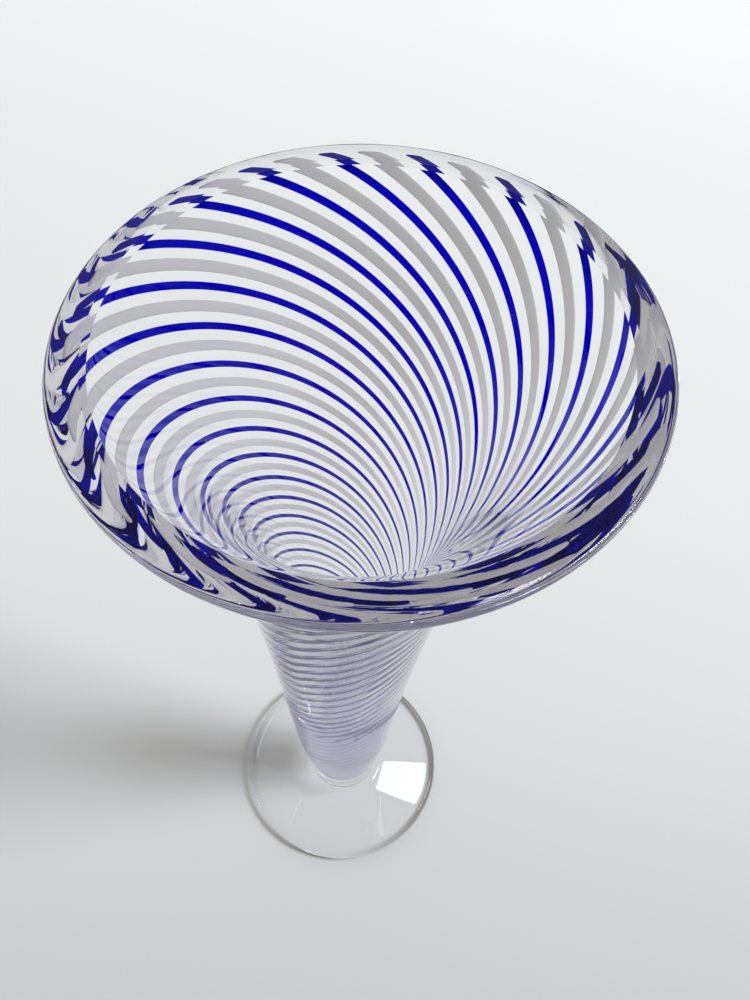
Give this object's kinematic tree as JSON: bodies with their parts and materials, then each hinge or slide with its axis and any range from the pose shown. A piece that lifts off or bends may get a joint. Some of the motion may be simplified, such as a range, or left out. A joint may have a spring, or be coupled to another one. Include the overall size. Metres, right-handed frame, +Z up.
{
  "type": "footed trumpet vase",
  "caption": "Tall footed trumpet vase in thick clear glass, with spiral blue and white canes sealed in its flared wall, a flat polished lip and a clear disc foot.",
  "frame": {"origin": "centre of the underside of the foot", "axes": "+Z up along the axis of the vase; -Y is the side nearest the viewer in the picture"},
  "size_m": [0.125, 0.125, 0.3],
  "materials": {
    "clear_glass": "fire polished, clear",
    "blue_glass": "transparent cobalt blue, sealed in clear glass",
    "white_glass": "translucent milk white, sealed in clear glass",
    "lavender_glass": "milky lavender, sealed in clear glass"
  },
  "bodies": {
    "root": {"inner_casing": "clear_glass", "outer_casing": "clear_glass", "blue_cane_01": "blue_glass", "white_cane_01": "white_glass", "blue_cane_02": "blue_glass", "white_cane_02": "white_glass", "blue_cane_03": "blue_glass", "white_cane_03": "white_glass", "blue_cane_04": "blue_glass", "white_cane_04": "white_glass", "blue_cane_05": "blue_glass", "white_cane_05": "white_glass", "blue_cane_06": "blue_glass", "white_cane_06": "white_glass", "blue_cane_07": "blue_glass", "white_cane_07": "white_glass", "blue_cane_08": "blue_glass", "white_cane_08": "white_glass", "blue_cane_09": "blue_glass", "white_cane_09": "white_glass", "blue_cane_10": "blue_glass", "white_cane_10": "white_glass", "blue_cane_11": "blue_glass", "white_cane_11": "white_glass", "blue_cane_12": "blue_glass", "white_cane_12": "white_glass", "blue_cane_13": "blue_glass", "white_cane_13": "white_glass", "blue_cane_14": "blue_glass", "white_cane_14": "white_glass", "blue_cane_15": "blue_glass", "white_cane_15": "white_glass", "blue_cane_16": "blue_glass", "white_cane_16": "white_glass", "blue_cane_17": "blue_glass", "white_cane_17": "white_glass", "blue_cane_18": "blue_glass", "white_cane_18": "white_glass", "gathered_cane_ends": "lavender_glass", "stem": "clear_glass", "foot": "clear_glass"}
  },
  "joints": []
}
